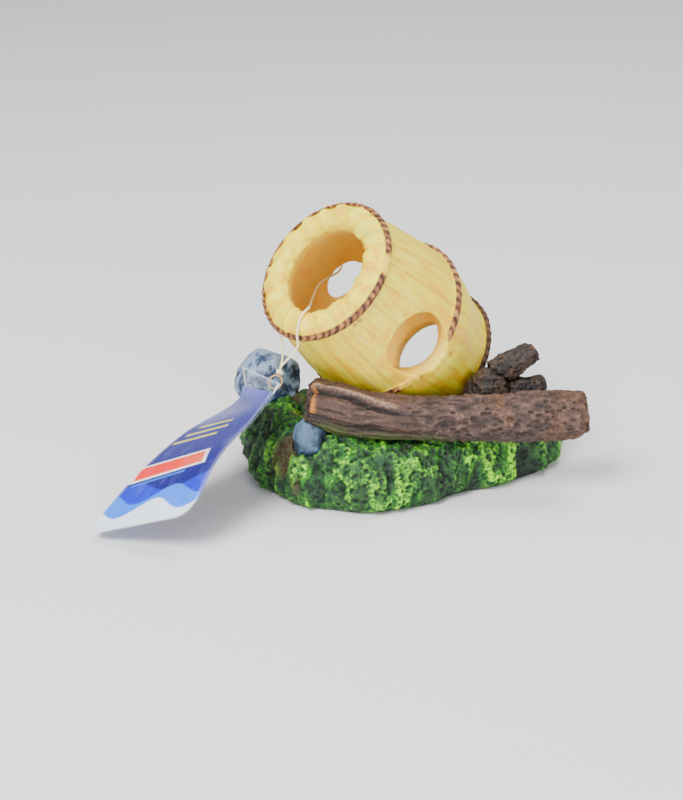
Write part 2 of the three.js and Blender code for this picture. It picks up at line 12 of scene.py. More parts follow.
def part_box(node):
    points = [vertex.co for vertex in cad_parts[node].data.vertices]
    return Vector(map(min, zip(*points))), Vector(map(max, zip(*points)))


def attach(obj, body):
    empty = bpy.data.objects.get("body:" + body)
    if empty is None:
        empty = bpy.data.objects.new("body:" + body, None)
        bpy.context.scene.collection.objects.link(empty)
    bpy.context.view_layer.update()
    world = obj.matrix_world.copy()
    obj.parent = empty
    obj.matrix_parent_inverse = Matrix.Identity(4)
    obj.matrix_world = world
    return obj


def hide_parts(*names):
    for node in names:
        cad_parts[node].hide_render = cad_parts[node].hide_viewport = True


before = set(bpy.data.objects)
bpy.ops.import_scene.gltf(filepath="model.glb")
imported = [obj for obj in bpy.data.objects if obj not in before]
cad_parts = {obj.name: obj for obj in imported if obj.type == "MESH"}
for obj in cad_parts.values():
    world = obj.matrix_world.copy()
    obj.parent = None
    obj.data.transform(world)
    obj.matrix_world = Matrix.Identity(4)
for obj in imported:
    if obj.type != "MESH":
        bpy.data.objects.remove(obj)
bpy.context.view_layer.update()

MM = 0.001

# Layout, in the ornament's own millimetres
STONE_AT = (8, 20)
AIR_HEIGHT = 5.4
SEAT_BACK = 39.4
MOUTH = np.array([-31.3, -14, 78.5])
MOUTH_TILT = math.radians(42.1)
MOUTH_HEADING = math.radians(41.4)
STAVES = 20
FRONT_HOLE = {"depth": 30, "turn": math.radians(-11.2)}
BACK_HOLE = {"depth": 36.5, "turn": math.radians(162)}
# Depth of each twine, and the turn in degrees between which paint covers it
TWINES = {
    "rim_twine": (1.6, (14, 30)),
    "middle_twine_upper": (39, None),
    "middle_twine_lower": (39, (-41, -20)),
    "end_twine": (68.2, None),
}
TWINE_WIDTH = 2.3
TWINE_PITCH = 3.1
TWINE_TURN_RADIUS = 27
BASE_CENTRE = np.array([-4, -2])
LOG_X = [-36, -20, 0, 25, 45, 60.5]
LOG_Y = [-29, -28, -27.5, -27, -27, -26]
LOG_Z = [35.8, 31, 28.6, 28.3, 29, 30.2]
TAG_LEFT = [
    (-110.6, -61.7, 0.7),
    (-93.8, -43, 14.1),
    (-79.4, -26, 21.2),
    (-59.9, -9.5, 28.7),
    (-59.6, -9.5, 40.2),
]
TAG_RIGHT = [
    (-74, -75, 15.5),
    (-65, -60.5, 28.9),
    (-54.9, -44.5, 35),
    (-49.6, -35, 38.9),
    (-46, -34, 44.5),
]
TAG_PRINT_SHARE = 0.85
TAG_THICKNESS = 0.5
TAG_GAP = 0.3
TAG_CORNER = 0.16
TAG_CORNER_RISE = 0.07
EYELET = (0.9, 0.91)
EYELET_RADIUS = 2.2
CORD_DIAMETER = 0.8
CORD_PITCH = 1.9
CORD_CORE = 0.86
CORD_RIDGE = 0.16
CORD_SIDES = 12
CORD_RINGS = 640
CORD_ROUTE = [
    (-45.9, -30.3, 48.9), (-44, -30.6, 51.2), (-41.6, -30.7, 54.1), (-39.7, -30.9, 57.2),
    (-40, -31, 60.5), (-39.7, -30.4, 63.5), (-38.9, -28.9, 66.1), (-37.7, -26.8, 67.6),
    (-36.2, -24, 68), (-36.4, -16.6, 65.3), (-36.2, -7, 61.2), (-36.1, 2.2, 58.6),
    (-35.2, 9.2, 59.2), (-33.2, 13.9, 62.3), (-30.2, 16.9, 63.8), (-27, 19.7, 64.4),
    (-25.3, 23.8, 64.8), (-25.1, 27.4, 65.4), (-27.9, 29.6, 65.8), (-32.4, 28.1, 64.5),
    (-36.8, 22.7, 61.7), (-40.4, 17.8, 59.3), (-43.1, 13, 58.1), (-45.2, 8.6, 57.8),
    (-46.6, 1.4, 54.9), (-46.4, -6.3, 52.1), (-45.6, -13, 50.2), (-45.3, -20, 48.8),
    (-45.7, -25.6, 47.6), (-46, -29, 47.3),
]
KNOT_AT = np.array([-46.1, -30.4, 47.3])
KNOT_SIZE = 0.33
LOOP_RADIUS = 2.4
LOOP_SHARE = 0.6

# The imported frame's origin is the middle of the casting's footprint; the air stone gives the shift
STONE_LOW, STONE_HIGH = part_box("air_stone")
SHIFT = np.array(
    [
        (STONE_LOW.x + STONE_HIGH.x) / 2 / MM - STONE_AT[0],
        (STONE_LOW.y + STONE_HIGH.y) / 2 / MM - STONE_AT[1],
        0,
    ]
)


def to_frame(points):
    """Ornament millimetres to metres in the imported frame."""
    return (np.asarray(points, float) + SHIFT) * MM


# ---------- camera and lights ----------

CAMERA_ELEVATION = math.radians(24)
CAMERA_TARGET = (-25, 0, 23.3)
CAMERA_DISTANCE = 0.68
LAMP_TARGET = (0, 0, 0.04)


def aim(obj, at, target):
    obj.location = at
    obj.rotation_euler = (Vector(target) - Vector(at)).to_track_quat("-Z", "Y").to_euler()


def make_camera():
    target = to_frame(CAMERA_TARGET)
    back = np.array([0, -math.cos(CAMERA_ELEVATION), math.sin(CAMERA_ELEVATION)])
    data = bpy.data.cameras.new("camera")
    data.lens = 85
    data.sensor_width = 36
    camera = bpy.data.objects.new("camera", data)
    bpy.context.scene.collection.objects.link(camera)
    aim(camera, target + CAMERA_DISTANCE * back, target)
    bpy.context.scene.camera = camera


def lamp(name, at, size, watts):
    data = bpy.data.lights.new(name, "AREA")
    data.shape = "DISK"
    data.size = size
    data.energy = watts
    light = bpy.data.objects.new(name, data)
    bpy.context.scene.collection.objects.link(light)
    aim(light, at, LAMP_TARGET)


def make_studio():
    world = bpy.data.worlds.new("studio")
    world.use_nodes = True
    sky = world.node_tree.nodes["Background"]
    sky.inputs["Color"].default_value = (0.93, 0.95, 1, 1)
    sky.inputs["Strength"].default_value = 0.55
    bpy.context.scene.world = world
    lamp("key", (-0.45, -0.55, 0.85), 0.5, 18)
    lamp("top", (0.25, 0.2, 1.0), 0.7, 8)
    lamp("fill", (0.35, -0.85, 0.2), 0.6, 6.5)


# ---------- numbers over points ----------


def smooth(value, low, high):
    """An eased step from 0 at low to 1 at high; it falls instead when low is above high."""
    t = np.clip((value - low) / (high - low), 0, 1)
    return t * t * (3 - 2 * t)


def lattice(cells, seed):
    """A repeatable number from 0 to 1 for each whole-number cell."""
    n = cells.astype(np.int64)
    mixed = n[:, 0] * 73856093 ^ n[:, 1] * 19349663 ^ n[:, 2] * 83492791 ^ seed * 40503
    mixed = (mixed ^ (mixed >> 13)) * 1274126177 & 0x7FFFFFFF
    mixed = (mixed ^ (mixed >> 15)) * 668265263 & 0x7FFFFFFF
    return ((mixed ^ (mixed >> 16)) & 0xFFFFFF) / 0xFFFFFF


def noise(points, size, seed):
    """Smooth noise from -1 to 1 with lumps of the given size."""
    at = points / size
    cell = np.floor(at)
    part = at - cell
    part = part * part * (3 - 2 * part)
    total = np.zeros(len(at))
    for corner in itertools.product((0, 1), repeat=3):
        weight = np.where(corner, part, 1 - part).prod(axis=1)
        total += weight * lattice(cell + corner, seed)
    return 2 * total - 1


def layered(points, size, seed, layers=3):
    """Noise with finer layers of half the size and strength on top."""
    total = sum(noise(points, size / 2**k, seed + k) / 2**k for k in range(layers))
    return total / (2 - 0.5 ** (layers - 1))


def ridged(points, size, seed):
    """Sharp ridges of 1 between valleys of 0."""
    return 1 - np.abs(layered(points, size, seed, 2)) * 2.2


def cell_gap(points, size, seed):
    """Distance, in cells, to the nearest of points scattered one to a cell."""
    at = points / size
    base = np.floor(at)
    best = np.full(len(at), 9.0)
    for step in itertools.product((-1, 0, 1), repeat=3):
        cell = base + step
        spot = cell + np.stack([lattice(cell, seed + axis) for axis in range(3)], axis=1)
        best = np.minimum(best, np.linalg.norm(at - spot, axis=1))
    return best


def spline(points, share):
    """Point of a centripetal Catmull-Rom curve through the points, at a share of it."""
    p = np.asarray(points, float)
    last = len(p) - 1
    i = min(int(share * last), last - 1)
    w = share * last - i
    before = p[i - 1] if i > 0 else 2 * p[0] - p[1]
    after = p[i + 2] if i + 2 <= last else 2 * p[-1] - p[-2]
    four = [before, p[i], p[i + 1], after]
    d0, d1, d2 = [math.sqrt(np.linalg.norm(b - a)) for a, b in zip(four, four[1:])]
    leave = (four[1] - four[0]) / d0 - (four[2] - four[0]) / (d0 + d1) + (four[2] - four[1]) / d1
    reach = (four[2] - four[1]) / d1 - (four[3] - four[1]) / (d1 + d2) + (four[3] - four[2]) / d2
    leave, reach = leave * d1, reach * d1
    bend = -3 * four[1] + 3 * four[2] - 2 * leave - reach
    twist = 2 * four[1] - 2 * four[2] + leave + reach
    return four[1] + leave * w + bend * w**2 + twist * w**3


# ---------- meshes ----------


def linked(name, mesh):
    obj = bpy.data.objects.new(name, mesh)
    bpy.context.scene.collection.objects.link(obj)
    return obj


def coordinates(mesh):
    values = np.empty(3 * len(mesh.vertices))
    mesh.vertices.foreach_get("co", values)
    return values.reshape(-1, 3)


def normals(mesh):
    values = np.empty(3 * len(mesh.vertices))
    mesh.vertex_normals.foreach_get("vector", values)
    return values.reshape(-1, 3)


def set_coordinates(mesh, points):
    mesh.vertices.foreach_set("co", np.ascontiguousarray(points).ravel())
    mesh.update()


def store(mesh, name, values):
    """A number or a vector for each vertex, for the materials to read."""
    values = np.ascontiguousarray(values, np.float32)
    if values.ndim == 1:
        mesh.attributes.new(name, "FLOAT", "POINT").data.foreach_set("value", values)
    else:
        kind = mesh.attributes.new(name, "FLOAT_VECTOR", "POINT")
        kind.data.foreach_set("vector", values.ravel())


def millimetre_copy(node, name):
    """A CAD node's mesh as a new object in ornament millimetres."""
    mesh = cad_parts[node].data.copy()
    mesh.materials.clear()
    mesh.transform(Matrix.Scale(1 / MM, 4))
    mesh.transform(Matrix.Translation(-Vector(SHIFT)))
    return linked(name, mesh)


def refined(node, voxel, rounds):
    """A CAD node's shape on a fine even mesh, its facets softened."""
    obj = millimetre_copy(node, f"{node}_fine")
    remesh = obj.modifiers.new("even", "REMESH")
    remesh.mode = "VOXEL"
    remesh.voxel_size = voxel
    soften = obj.modifiers.new("soften", "SMOOTH")
    soften.factor = 0.5
    soften.iterations = rounds
    shaped = obj.evaluated_get(bpy.context.evaluated_depsgraph_get())
    fine = bpy.data.meshes.new_from_object(shaped)
    obj.modifiers.clear()
    obj.data = fine
    return obj


def finish_piece(obj, nodes, body, material):
    """Take a piece from ornament millimetres into the frame, give it its material, hide the CAD nodes it
    stands in for and hang it on its body.
    """
    set_coordinates(obj.data, to_frame(coordinates(obj.data)))
    obj.data.polygons.foreach_set("use_smooth", [True] * len(obj.data.polygons))
    obj.data.materials.clear()
    obj.data.materials.append(material)
    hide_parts(*nodes)
    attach(obj, body)


def sculpt(node, voxel, rounds, shape, material):
    """Refine a node, move its vertices along their normals as shape says, and store its paint masks."""
    obj = refined(node, voxel, rounds)
    points, directions = coordinates(obj.data), normals(obj.data)
    lift, masks = shape(points, directions)
    set_coordinates(obj.data, points + directions * lift[:, None])
    for name, values in masks.items():
        store(obj.data, name, values)
    finish_piece(obj, [node], "root", material)


def tube(line, radius, sides, closed):
    """A tube along a line of points; radius is a function of the ring number and the turn round it."""
    line = np.asarray(line, float)
    ahead = np.roll(line, -1, 0) - np.roll(line, 1, 0)
    if not closed:
        ahead[0], ahead[-1] = line[1] - line[0], line[-1] - line[-2]
    ahead /= np.linalg.norm(ahead, axis=1)[:, None]
    side = np.cross(ahead[0], (0.3, 0.2, 0.9))
    rings = []
    for k, (at, forward) in enumerate(zip(line, ahead)):
        side = side - forward * (side @ forward)
        side /= np.linalg.norm(side)
        up = np.cross(forward, side)
        turns = 2 * math.pi * np.arange(sides) / sides
        r = radius(k, turns)[:, None]
        rings.append(at + r * (np.cos(turns)[:, None] * side + np.sin(turns)[:, None] * up))
    points = np.concatenate(rings)
    count = len(line)
    faces = []
    for k in range(count if closed else count - 1):
        a, b = k * sides, (k + 1) % count * sides
        faces += [(a + j, a + (j + 1) % sides, b + (j + 1) % sides, b + j) for j in range(sides)]
    if not closed:
        faces.append(tuple(range(sides))[::-1])
        faces.append(tuple((count - 1) * sides + j for j in range(sides)))
    return points, faces


# ---------- materials ----------

DEEPER = 1.75


def rgb(red, green, blue):
    """A colour from screen values of 0 to 255, as the linear values that shaders use.

    The colour is deepened, as the view transform pales it."""
    shares = [c / 255 for c in (red, green, blue)]
    linear = [s / 12.92 if s <= 0.04045 else ((s + 0.055) / 1.055) ** 2.4 for s in shares]
    mean = sum(linear) / 3
    return [min(0.92, mean * (c / mean) ** DEEPER) for c in linear] + [1]


class Paint:
    """One material and short calls that add its nodes."""

    def __init__(self, name):
        self.material = bpy.data.materials.new(name)
        self.material.use_nodes = True
        self.tree = self.material.node_tree
        self.shader = self.tree.nodes["Principled BSDF"]

    def node(self, kind, inputs, output=0, **settings):
        made = self.tree.nodes.new(kind)
        for key, value in settings.items():
            setattr(made, key, value)
        for key, value in inputs.items():
            self.put(made.inputs[key], value)
        return made.outputs[output]

    def put(self, socket, value):
        if isinstance(value, bpy.types.NodeSocket):
            self.tree.links.new(value, socket)
        else:
            socket.default_value = value

    def set(self, **inputs):
        for key, value in inputs.items():
            self.put(self.shader.inputs[key.replace("_", " ")], value)

    def mask(self, name):
        return self.node("ShaderNodeAttribute", {}, "Fac", attribute_name=name)

    def place(self, name="lie"):
        return self.node("ShaderNodeAttribute", {}, "Vector", attribute_name=name)

    def stretched(self, vector, scale):
        return self.node("ShaderNodeMapping", {"Vector": vector, "Scale": scale})

    def noise(self, vector, scale, detail=3, roughness=0.55):
        inputs = {"Vector": vector, "Scale": scale, "Detail": detail, "Roughness": roughness}
        return self.node("ShaderNodeTexNoise", inputs, "Fac")

    def cells(self, vector, scale):
        return self.node("ShaderNodeTexVoronoi", {"Vector": vector, "Scale": scale}, "Distance")

    def math(self, operation, a, b=0.0):
        return self.node("ShaderNodeMath", {0: a, 1: b}, operation=operation)

    def step(self, value, low, high, start=0.0, end=1.0):
        """value's range from low to high spread over start to end, eased."""
        inputs = {"Value": value, "From Min": low, "From Max": high, "To Min": start, "To Max": end}
        return self.node("ShaderNodeMapRange", inputs, interpolation_type="SMOOTHSTEP")

    def mix(self, share, a, b):
        """Colour a going over to colour b."""
        inputs = {0: share, 6: a, 7: b}
        return self.node("ShaderNodeMix", inputs, 2, data_type="RGBA")

    def ramp(self, value, stops):
        made = self.tree.nodes.new("ShaderNodeValToRGB")
        while len(made.color_ramp.elements) < len(stops):
            made.color_ramp.elements.new(0.5)
        for element, (at, colour) in zip(made.color_ramp.elements, stops):
            element.position = at
            element.color = colour
        self.put(made.inputs[0], value)
        return made.outputs[0]

    def bump(self, height, distance, strength):
        inputs = {"Height": height, "Distance": distance, "Strength": strength}
        self.set(Normal=self.node("ShaderNodeBump", inputs))


def barrel_paint():
    p = Paint("painted_barrel")
    lie = p.place()
    grain = p.stretched(lie, (1, 1, 0.1))
    broad = p.noise(grain, 0.22, 3)
    fine = p.noise(grain, 1.1, 3, 0.6)
    blotch = p.noise(lie, 0.075, 3)
    body = p.ramp(
        broad,
        [
            (0.3, rgb(238, 184, 48)),
            (0.45, rgb(240, 204, 66)),
            (0.56, rgb(238, 210, 84)),
            (0.7, rgb(232, 214, 118)),
        ],
    )
    warm = p.math("MULTIPLY", p.step(p.noise(grain, 0.4, 3), 0.48, 0.6), p.step(blotch, 0.4, 0.54))
    body = p.mix(p.math("MULTIPLY", warm, 0.75), body, rgb(242, 184, 38))
    pale = p.math("MULTIPLY", p.step(p.noise(grain, 0.5, 2), 0.58, 0.72), 0.55)
    body = p.mix(pale, body, rgb(222, 208, 140))
    dark = p.math("MULTIPLY", p.step(fine, 0.44, 0.3), 0.35)
    outer = p.math("SUBTRACT", 1.0, p.mask("inner"))
    body = p.mix(p.math("MULTIPLY", dark, outer), body, rgb(178, 140, 78))
    body = p.mix(p.math("MULTIPLY", p.mask("seam"), 0.4), body, rgb(170, 130, 66))
    rim = p.ramp(
        p.noise(lie, 0.22, 4, 0.6),
        [(0.34, rgb(246, 182, 34)), (0.47, rgb(245, 204, 56)), (0.62, rgb(240, 216, 92))],
    )
    body = p.mix(p.mask("lip"), body, rim)
    body = p.mix(p.mask("glow"), body, rgb(242, 186, 52))
    well = p.ramp(
        p.noise(grain, 0.16, 3),
        [(0.3, rgb(208, 174, 78)), (0.5, rgb(212, 188, 98)), (0.7, rgb(208, 192, 120))],
    )
    body = p.mix(p.mask("inner"), body, well)
    body = p.mix(p.mask("orange"), body, rgb(204, 162, 50))
    fleck = p.step(p.cells(lie, 0.16), 0.055, 0.035)
    fleck = p.math("MULTIPLY", fleck, p.math("MULTIPLY", outer, 0.5))
    body = p.mix(fleck, body, rgb(150, 112, 62))
    body = p.mix(p.mask("green"), body, rgb(130, 176, 128))
    body = p.mix(p.mask("brown"), body, rgb(120, 88, 56))
    p.set(Base_Color=body, Roughness=p.step(broad, 0.3, 0.7, 0.42, 0.58))
    relief = p.math("ADD", p.math("MULTIPLY", fine, 0.7), p.noise(lie, 1.6, 3))
    p.bump(relief, 0.0003, 0.5)
    return p.material


def twine_paint():
    p = Paint("painted_twine")
    lie = p.place()
    relief = p.mask("relief")
    speck = p.noise(lie, 1.7, 3)
    level = p.math("ADD", relief, p.math("MULTIPLY", p.math("SUBTRACT", speck, 0.5), 0.7))
    strand = p.ramp(
        level,
        [
            (0.15, rgb(34, 20, 12)),
            (0.38, rgb(76, 50, 34)),
            (0.6, rgb(108, 82, 52)),
            (0.9, rgb(150, 122, 88)),
        ],
    )
    # Painted shade darkens the end twine.
    strand = p.mix(p.math("MULTIPLY", p.mask("dark"), 0.7), strand, rgb(30, 18, 12))
    body = p.mix(p.mask("cover"), strand, rgb(232, 194, 92))
    p.set(Base_Color=body, Roughness=0.62)
    p.bump(speck, 0.0003, 0.6)
    return p.material


def bark_paint(name, shade):
    """Dry-brushed bark; shade scales its colours, and is lower on the root than on the log."""
    p = Paint(name)
    lie = p.place()
    relief = p.mask("relief")
    fine = p.noise(lie, 1.1, 4, 0.65)
    specks = p.noise(lie, 3.2, 2)
    grit = p.math("ADD", p.math("MULTIPLY", fine, 0.6), p.math("MULTIPLY", specks, 0.4))
    level = p.math("ADD", relief, p.math("MULTIPLY", p.math("SUBTRACT", grit, 0.5), 1.5))

    def dimmed(red, green, blue):
        return rgb(red * shade, green * shade, blue * shade)

    body = p.ramp(
        level,
        [
            (0.05, dimmed(34, 24, 20)),
            (0.3, dimmed(70, 53, 45)),
            (0.55, dimmed(112, 91, 82)),
            (0.78, dimmed(158, 132, 120)),
            (0.96, dimmed(240, 212, 190)),
        ],
    )
    ochre = p.math("MULTIPLY", p.mask("ochre"), p.step(fine, 0.4, 0.6))
    body = p.mix(p.math("MULTIPLY", ochre, 0.8), body, dimmed(162, 122, 62))
    body = p.mix(p.math("MULTIPLY", p.mask("orange"), 0.85), body, rgb(176, 134, 60))
    body = p.mix(p.math("MULTIPLY", p.mask("green"), 0.65), body, rgb(64, 74, 40))
    p.set(Base_Color=body, Roughness=0.6)
    p.bump(grit, 0.0007, 0.8)
    return p.material


def moss_paint():
    p = Paint("painted_moss")
    lie = p.place()
    fine = p.noise(lie, 0.9, 4, 0.65)
    patch = p.noise(lie, 0.085, 3)
    level = p.math("ADD", p.mask("relief"), p.math("MULTIPLY", p.math("SUBTRACT", fine, 0.5), 0.9))
    deep = p.ramp(
        level,
        [
            (0.16, rgb(4, 12, 10)),
            (0.44, rgb(14, 30, 18)),
            (0.66, rgb(28, 52, 26)),
            (0.82, rgb(54, 90, 34)),
            (0.96, rgb(120, 158, 48)),
        ],
    )
    bright = p.ramp(
        level,
        [
            (0.2, rgb(6, 20, 14)),
            (0.5, rgb(20, 48, 20)),
            (0.7, rgb(48, 92, 24)),
            (0.88, rgb(150, 190, 32)),
        ],
    )
    body = p.mix(p.math("MULTIPLY", p.mask("lime"), p.step(patch, 0.36, 0.58)), deep, bright)
    cool = p.step(p.noise(lie, 0.12, 2), 0.55, 0.68)
    body = p.mix(p.math("MULTIPLY", cool, 0.3), body, rgb(36, 60, 48))
    body = p.mix(p.math("MULTIPLY", p.mask("brown"), 0.6), body, rgb(56, 40, 16))
    # Painted shade: faces turned inwards or downwards go dark grey-green.
    body = p.mix(p.math("MULTIPLY", p.mask("under"), 0.8), body, rgb(44, 54, 38))
    p.set(Base_Color=body, Roughness=0.62)
    p.bump(fine, 0.0006, 0.9)
    return p.material


def stone_paint(name, dark, middle, light, roughness=0.6):
    p = Paint(name)
    lie = p.place()
    broad = p.noise(lie, 0.16, 4, 0.6)
    fine = p.noise(lie, 0.9, 4, 0.65)
    level = p.math("ADD", p.math("MULTIPLY", broad, 0.55), p.math("MULTIPLY", fine, 0.3))
    # On the rock and the pebble, relief includes painted light on faces turned upwards.
    level = p.math("ADD", level, p.math("MULTIPLY", p.mask("relief"), 0.3))
    body = p.ramp(level, [(0.38, dark), (0.54, middle), (0.68, light)])
    p.set(Base_Color=body, Roughness=roughness)
    p.bump(fine, 0.0006, 0.7)
    return p.material


def moulded_paint(name, colour, roughness, **more):
    """Moulded plastic or rubber with a faint mottle and a fine matt bump."""
    p = Paint(name)
    lie = p.place()
    mottle = p.noise(lie, 0.5, 3)
    shade = p.mix(0.12, colour, rgb(120, 124, 122))
    p.set(Base_Color=p.mix(p.step(mottle, 0.4, 0.65), colour, shade), Roughness=roughness, **more)
    p.bump(p.noise(lie, 6.0, 2), 0.00005, 0.4)
    return p.material


def cord_paint():
    p = Paint("cotton_cord")
    lie = p.place()
    fibre = p.noise(lie, 5.0, 3)
    level = p.math("ADD", p.mask("relief"), p.math("MULTIPLY", p.math("SUBTRACT", fibre, 0.5), 0.5))
    # Painted shade: the cord goes darker and browner in the grooves between its strands.
    body = p.ramp(level, [(0.05, rgb(186, 158, 108)), (0.45, rgb(240, 222, 178)), (0.9, rgb(253, 246, 224))])
    p.set(Base_Color=body, Roughness=0.85)
    p.shader.inputs["Sheen Weight"].default_value = 0.3
    p.bump(fibre, 0.0001, 0.6)
    return p.material


def film_paint():
    p = Paint("clear_film")
    lie = p.place()
    edge = p.mask("edge")
    # Painted reflection: a faint white haze of patchy alpha over the clear film stands in for glare.
    glare_haze = p.step(p.noise(lie, 0.06, 2), 0.3, 0.7, 0.04, 0.12)
    p.set(
        Base_Color=p.mix(edge, rgb(226, 234, 240), rgb(252, 253, 255)),
        Roughness=p.step(p.noise(lie, 0.3, 2), 0.3, 0.7, 0.06, 0.16),
        Alpha=p.math("MAXIMUM", glare_haze, p.math("MULTIPLY", edge, 0.8)),
    )
    p.shader.inputs["Specular IOR Level"].default_value = 0.3
    return p.material


def card_paint():
    """A printed card: waves along the bottom, a plain slanted badge, three plain bars, no lettering."""
    p = Paint("printed_card")
    sheet_at = p.node("ShaderNodeSeparateXYZ", {"Vector": p.place("sheet")}, "X")
    split = sheet_at.node
    across, up = split.outputs["X"], split.outputs["Y"]

    def times(a, b):
        return p.math("MULTIPLY", a, b)

    def plus(a, b):
        return p.math("ADD", a, b)

    def wave(height, swell, count, phase):
        turn = plus(times(across, count * 2 * math.pi), phase)
        ripple = p.math("SINE", plus(times(across, count * 5.2), 1.7 * phase))
        return plus(plus(height, times(p.math("SINE", turn), swell)), times(ripple, 0.5 * swell))

    def above(line, soft=0.004):
        return p.step(p.math("SUBTRACT", up, line), -soft, soft)

    def band(value, low, high, soft):
        return times(p.step(value, low - soft, low + soft), p.step(value, high + soft, high - soft))

    ink = p.ramp(
        up,
        [
            (0.1, rgb(28, 24, 82)),
            (0.26, rgb(30, 30, 88)),
            (0.5, rgb(38, 42, 98)),
            (0.72, rgb(38, 52, 112)),
            (0.85, rgb(20, 50, 134)),
        ],
    )
    body = p.mix(above(wave(0.165, 0.018, 1.2, 0.4)), rgb(24, 54, 146), ink)
    body = p.mix(above(wave(0.125, 0.02, 1.5, 1.6)), rgb(70, 136, 214), body)
    body = p.mix(above(wave(0.075, 0.022, 1.6, 2.3)), rgb(232, 238, 244), body)
    lean = plus(across, times(up, 0.9))
    badge_line = plus(up, times(across, -0.05))
    outline = times(band(badge_line, 0.196, 0.286, 0.003), band(lean, 0.19, 1.07, 0.012))
    badge = times(band(badge_line, 0.207, 0.275, 0.003), band(lean, 0.23, 1.03, 0.012))
    body = p.mix(outline, body, rgb(248, 244, 240))
    red = p.mix(p.step(lean, 0.55, 1.05), rgb(206, 44, 26), rgb(230, 112, 34))
    body = p.mix(badge, body, red)
    rule = times(band(badge_line, 0.176, 0.186, 0.003), band(across, 0.08, 0.66, 0.01))
    body = p.mix(times(rule, 0.8), body, rgb(58, 136, 230))
    for height, start, end in ((0.42, 0.06, 0.62), (0.468, 0.12, 0.68), (0.515, 0.18, 0.66)):
        line = plus(up, times(across, -0.04))
        bar = times(band(line, height - 0.009, height + 0.009, 0.003), band(across, start, end, 0.01))
        body = p.mix(times(bar, 0.85), body, rgb(196, 190, 84))
    glare_noise = p.noise(p.place("sheet"), 9.0, 3)
    # Painted reflection: a pale bluish glare over the print, in patches; the same noise varies the
    # roughness.
    body = p.mix(p.step(glare_noise, 0.45, 0.8, 0.0, 0.18), body, rgb(150, 156, 196))
    body = p.mix(times(p.mask("edge"), 0.2), body, rgb(220, 224, 236))
    p.set(Base_Color=body, Roughness=p.step(glare_noise, 0.3, 0.7, 0.22, 0.34))
    p.shader.inputs["Coat Weight"].default_value = 0.25
    p.shader.inputs["Coat Roughness"].default_value = 0.12
    return p.material


# ---------- barrel and twine ----------

OUT = np.array(
    [
        -math.cos(MOUTH_TILT) * math.cos(MOUTH_HEADING),
        -math.cos(MOUTH_TILT) * math.sin(MOUTH_HEADING),
        math.sin(MOUTH_TILT),
    ]
)
LEVEL = np.cross((0, 0, 1), OUT)
LEVEL /= np.linalg.norm(LEVEL)
BARREL_AXES = np.array([LEVEL, np.cross(OUT, LEVEL), OUT])
BARREL_RADIUS = 24
# A side hole is on the side where the distance from the barrel's axis passes this
HOLE_SIDE = 12
FAR_AWAY = 99
# The rim twine is nearer to the mouth than the first depth; the end twine, darkened with painted shade, is
# beyond the second
RIM_DEPTH = 10
END_DEPTH = 60
# Painted marks: turn in degrees, radius or depth, size, strength
LIP_MARKS = [(64, 19.4, 1.5, 0.8), (54, 21.2, 1.8, 0.9), (44, 21.8, 1.4, 0.6)]
SPECKS = [(-25, 4.6, 0.8, 1), (-30, 4.8, 0.6, 1), (-2, 45, 0.9, 0.7)]


def in_barrel(points):
    """Points in the barrel's own axes, and their turn, radius and depth."""
    local = (points - MOUTH) @ BARREL_AXES.T
    turn = np.arctan2(local[:, 1], local[:, 0])
    return local, turn, np.hypot(local[:, 0], local[:, 1]), -local[:, 2]


def from_hole(local, hole):
    """Distance from a side hole's axis, or FAR_AWAY beyond the hole's own side of the barrel."""
    c, s = math.cos(hole["turn"]), math.sin(hole["turn"])
    reach = local[:, 0] * c + local[:, 1] * s
    gap = np.hypot(-local[:, 0] * s + local[:, 1] * c, local[:, 2] + hole["depth"])
    return np.where(reach > HOLE_SIDE, gap, FAR_AWAY)


def outwardness(directions, turn):
    """How far directions point away from the barrel's axis, from -1 to 1."""
    facing = directions @ BARREL_AXES.T
    return facing[:, 0] * np.cos(turn) + facing[:, 1] * np.sin(turn)


def marks(turn, along, listed):
    """Round painted marks on the barrel; along is a radius or a depth."""
    total = np.zeros(len(turn))
    for at_turn, at_along, size, strength in listed:
        side = np.angle(np.exp(1j * (turn - math.radians(at_turn)))) * BARREL_RADIUS
        total += strength * np.exp(-(side**2 + (along - at_along) ** 2) / size**2)
    return np.clip(total, 0, 1)


